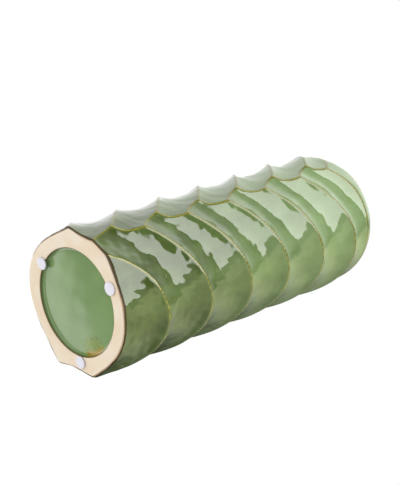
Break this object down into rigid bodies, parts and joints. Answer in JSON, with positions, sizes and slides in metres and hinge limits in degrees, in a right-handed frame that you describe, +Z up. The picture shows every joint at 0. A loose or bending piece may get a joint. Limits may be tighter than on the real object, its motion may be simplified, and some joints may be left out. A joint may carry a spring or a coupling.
{
  "type": "vase",
  "caption": "Tall cylindrical stoneware vase with a green reactive glaze, a relief of overlapping crescent scallops, a glazed foot well and stick-on foot pads.",
  "frame": {"origin": "on the vase's axis, in the plane that the three foot pads stand on", "axes": "+Z up the vase's axis from the foot to the mouth, the vase's longest extent"},
  "size_m": [0.1234, 0.123, 0.3055],
  "materials": {
    "clay": "unglazed, fine grain",
    "outer_glaze": "high gloss reactive glaze",
    "inner_glaze": "high gloss glaze",
    "well_glaze": "gloss glaze, pooled at one side",
    "pad": "satin",
    "adhesive": "matte film"
  },
  "bodies": {
    "root": {"stoneware_body": "clay", "outer_glaze": "outer_glaze", "inner_glaze": "inner_glaze", "foot_well_glaze": "well_glaze", "foot_pad_1": "pad", "foot_pad_2": "pad", "foot_pad_3": "pad", "pad_adhesive_1": "adhesive", "pad_adhesive_2": "adhesive", "pad_adhesive_3": "adhesive"}
  },
  "joints": []
}
